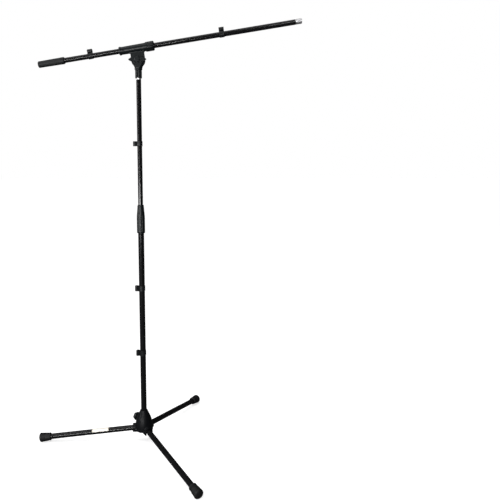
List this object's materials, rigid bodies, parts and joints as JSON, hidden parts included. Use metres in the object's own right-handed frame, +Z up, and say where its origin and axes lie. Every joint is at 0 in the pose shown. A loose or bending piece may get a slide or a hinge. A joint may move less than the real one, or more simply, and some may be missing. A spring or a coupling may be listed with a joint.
{
  "type": "boom microphone stand",
  "caption": "Black floor stand with a folding tripod, a telescoping column and a tilting boom that ends in a bright threaded tip for a microphone holder.",
  "frame": {"origin": "on the floor, on the axis of the column", "axes": "+Z up along the column, +X towards the threaded end of the boom as seen from above, +Y completes a right-handed frame; the tilt bolt lies along Y"},
  "size_m": [0.8913, 0.6583, 1.4307],
  "materials": {
    "black_metal": "black powder coat on steel tube, satin",
    "hub_paint": "black powder coat on a zinc casting, fine texture",
    "black_plastic": "moulded black nylon, satin",
    "clip_plastic": "moulded black plastic",
    "nylon": "dark nylon",
    "rubber": "black rubber, matte",
    "bright_steel": "bright nickel-plated steel",
    "brass": "plain brass",
    "cast_weight": "steel bar, as drawn",
    "label": "pale cream film, left blank"
  },
  "bodies": {
    "column": {"lower_tube": "black_metal", "column_plug": "black_plastic", "clutch_collet": "nylon"},
    "hub": {"hub_casting": "hub_paint", "leg_hinge_pins": "bright_steel"},
    "leg_1": {"leg_1_tube": "black_metal", "leg_1_plug": "nylon", "leg_1_foot": "rubber", "leg_label": "label"},
    "leg_2": {"leg_2_tube": "black_metal", "leg_2_plug": "nylon", "leg_2_foot": "rubber"},
    "leg_3": {"leg_3_tube": "black_metal", "leg_3_plug": "nylon", "leg_3_foot": "rubber"},
    "hub_clamp": {"hub_knob": "black_plastic", "clamp_screw": "bright_steel", "clamp_pad": "nylon"},
    "lower_clip": {"lower_clip": "clip_plastic"},
    "middle_clip": {"middle_clip": "clip_plastic"},
    "clutch": {"clutch_grip": "black_plastic"},
    "height_guide": {"height_bushing": "nylon"},
    "upper_column": {"upper_tube": "black_metal", "top_stud": "bright_steel", "upper_clip": "clip_plastic", "thread_insert": "brass", "swivel_fork": "black_plastic", "tilt_bolt": "bright_steel", "friction_washers": "bright_steel"},
    "wing": {"wing_knob": "black_plastic"},
    "boom_head": {"boom_housing": "black_plastic", "housing_screw": "bright_steel", "end_ring": "black_plastic"},
    "collar": {"clamp_collar": "black_plastic"},
    "liner": {"boom_liner": "nylon"},
    "boom": {"boom_tube": "black_metal", "counterweight": "cast_weight", "boom_grip": "rubber", "boom_tip": "bright_steel", "rear_boom_clip": "clip_plastic", "front_boom_clip": "clip_plastic"}
  },
  "joints": [
    {"name": "hub_slide", "type": "slide", "parent": "column", "child": "hub", "axis": [0, 0, 1], "range_m": [0, 0.32]},
    {"name": "leg_1_fold", "type": "hinge", "parent": "hub", "child": "leg_1", "pos_m": [-0.02594, -0.00181, 0.05825], "axis": [0.0698, -0.9976, 0], "range_deg": [0, 80]},
    {"name": "leg_2_fold", "type": "hinge", "parent": "hub", "child": "leg_2", "pos_m": [0.01488, -0.02132, 0.05825], "axis": [0.8202, 0.5721, 0], "range_deg": [0, 80]},
    {"name": "leg_3_fold", "type": "hinge", "parent": "hub", "child": "leg_3", "pos_m": [0.0116, 0.02327, 0.05825], "axis": [-0.8949, 0.4462, 0], "range_deg": [0, 80]},
    {"name": "hub_knob_turn", "type": "hinge", "parent": "hub", "child": "hub_clamp", "pos_m": [-0.02728, 0.02925, 0.08225], "axis": [-0.682, 0.7314, 0], "range_deg": [0, 180]},
    {"name": "lower_clip_slide", "type": "slide", "parent": "column", "child": "lower_clip", "axis": [0, 0, 1], "range_m": [0, 0.1344]},
    {"name": "middle_clip_slide", "type": "slide", "parent": "column", "child": "middle_clip", "axis": [0, 0, 1], "range_m": [-0.06, 0.15]},
    {"name": "clutch_turn", "type": "hinge", "parent": "column", "child": "clutch", "pos_m": [0, 0, 0.758], "axis": [0, 0, 1], "range_deg": [0, 180]},
    {"name": "height_slide", "type": "slide", "parent": "column", "child": "height_guide", "axis": [0, 0, 1], "range_m": [-0.18, 0.28]},
    {"name": "pan", "type": "hinge", "parent": "height_guide", "child": "upper_column", "pos_m": [0, 0, 0.497], "axis": [0, 0, 1], "continuous": true},
    {"name": "wing_turn", "type": "hinge", "parent": "upper_column", "child": "wing", "pos_m": [0, -0.0126, 1.317], "axis": [0, -1, 0], "range_deg": [0, 180]},
    {"name": "boom_tilt", "type": "hinge", "parent": "upper_column", "child": "boom_head", "pos_m": [0, 0, 1.317], "axis": [0, -1, 0], "range_deg": [-95, 80]},
    {"name": "collar_turn", "type": "hinge", "parent": "boom_head", "child": "collar", "pos_m": [0.02431, 0, 1.35787], "axis": [0.9912, 0, 0.1323], "range_deg": [0, 120]},
    {"name": "boom_roll", "type": "hinge", "parent": "boom_head", "child": "liner", "pos_m": [-0.00493, 0, 1.35397], "axis": [0.9912, 0, 0.1323], "continuous": true},
    {"name": "boom_slide", "type": "slide", "parent": "liner", "child": "boom", "axis": [0.9912, 0, 0.1323], "range_m": [-0.2, 0.08]}
  ],
  "couplings": [
    {"joint": "leg_1_fold", "follows": "hub_slide", "rad_per_m": 4.3633},
    {"joint": "leg_2_fold", "follows": "hub_slide", "rad_per_m": 4.3633},
    {"joint": "leg_3_fold", "follows": "hub_slide", "rad_per_m": 4.3633},
    {"joint": "lower_clip_slide", "follows": "hub_slide", "ratio": 0.42}
  ]
}
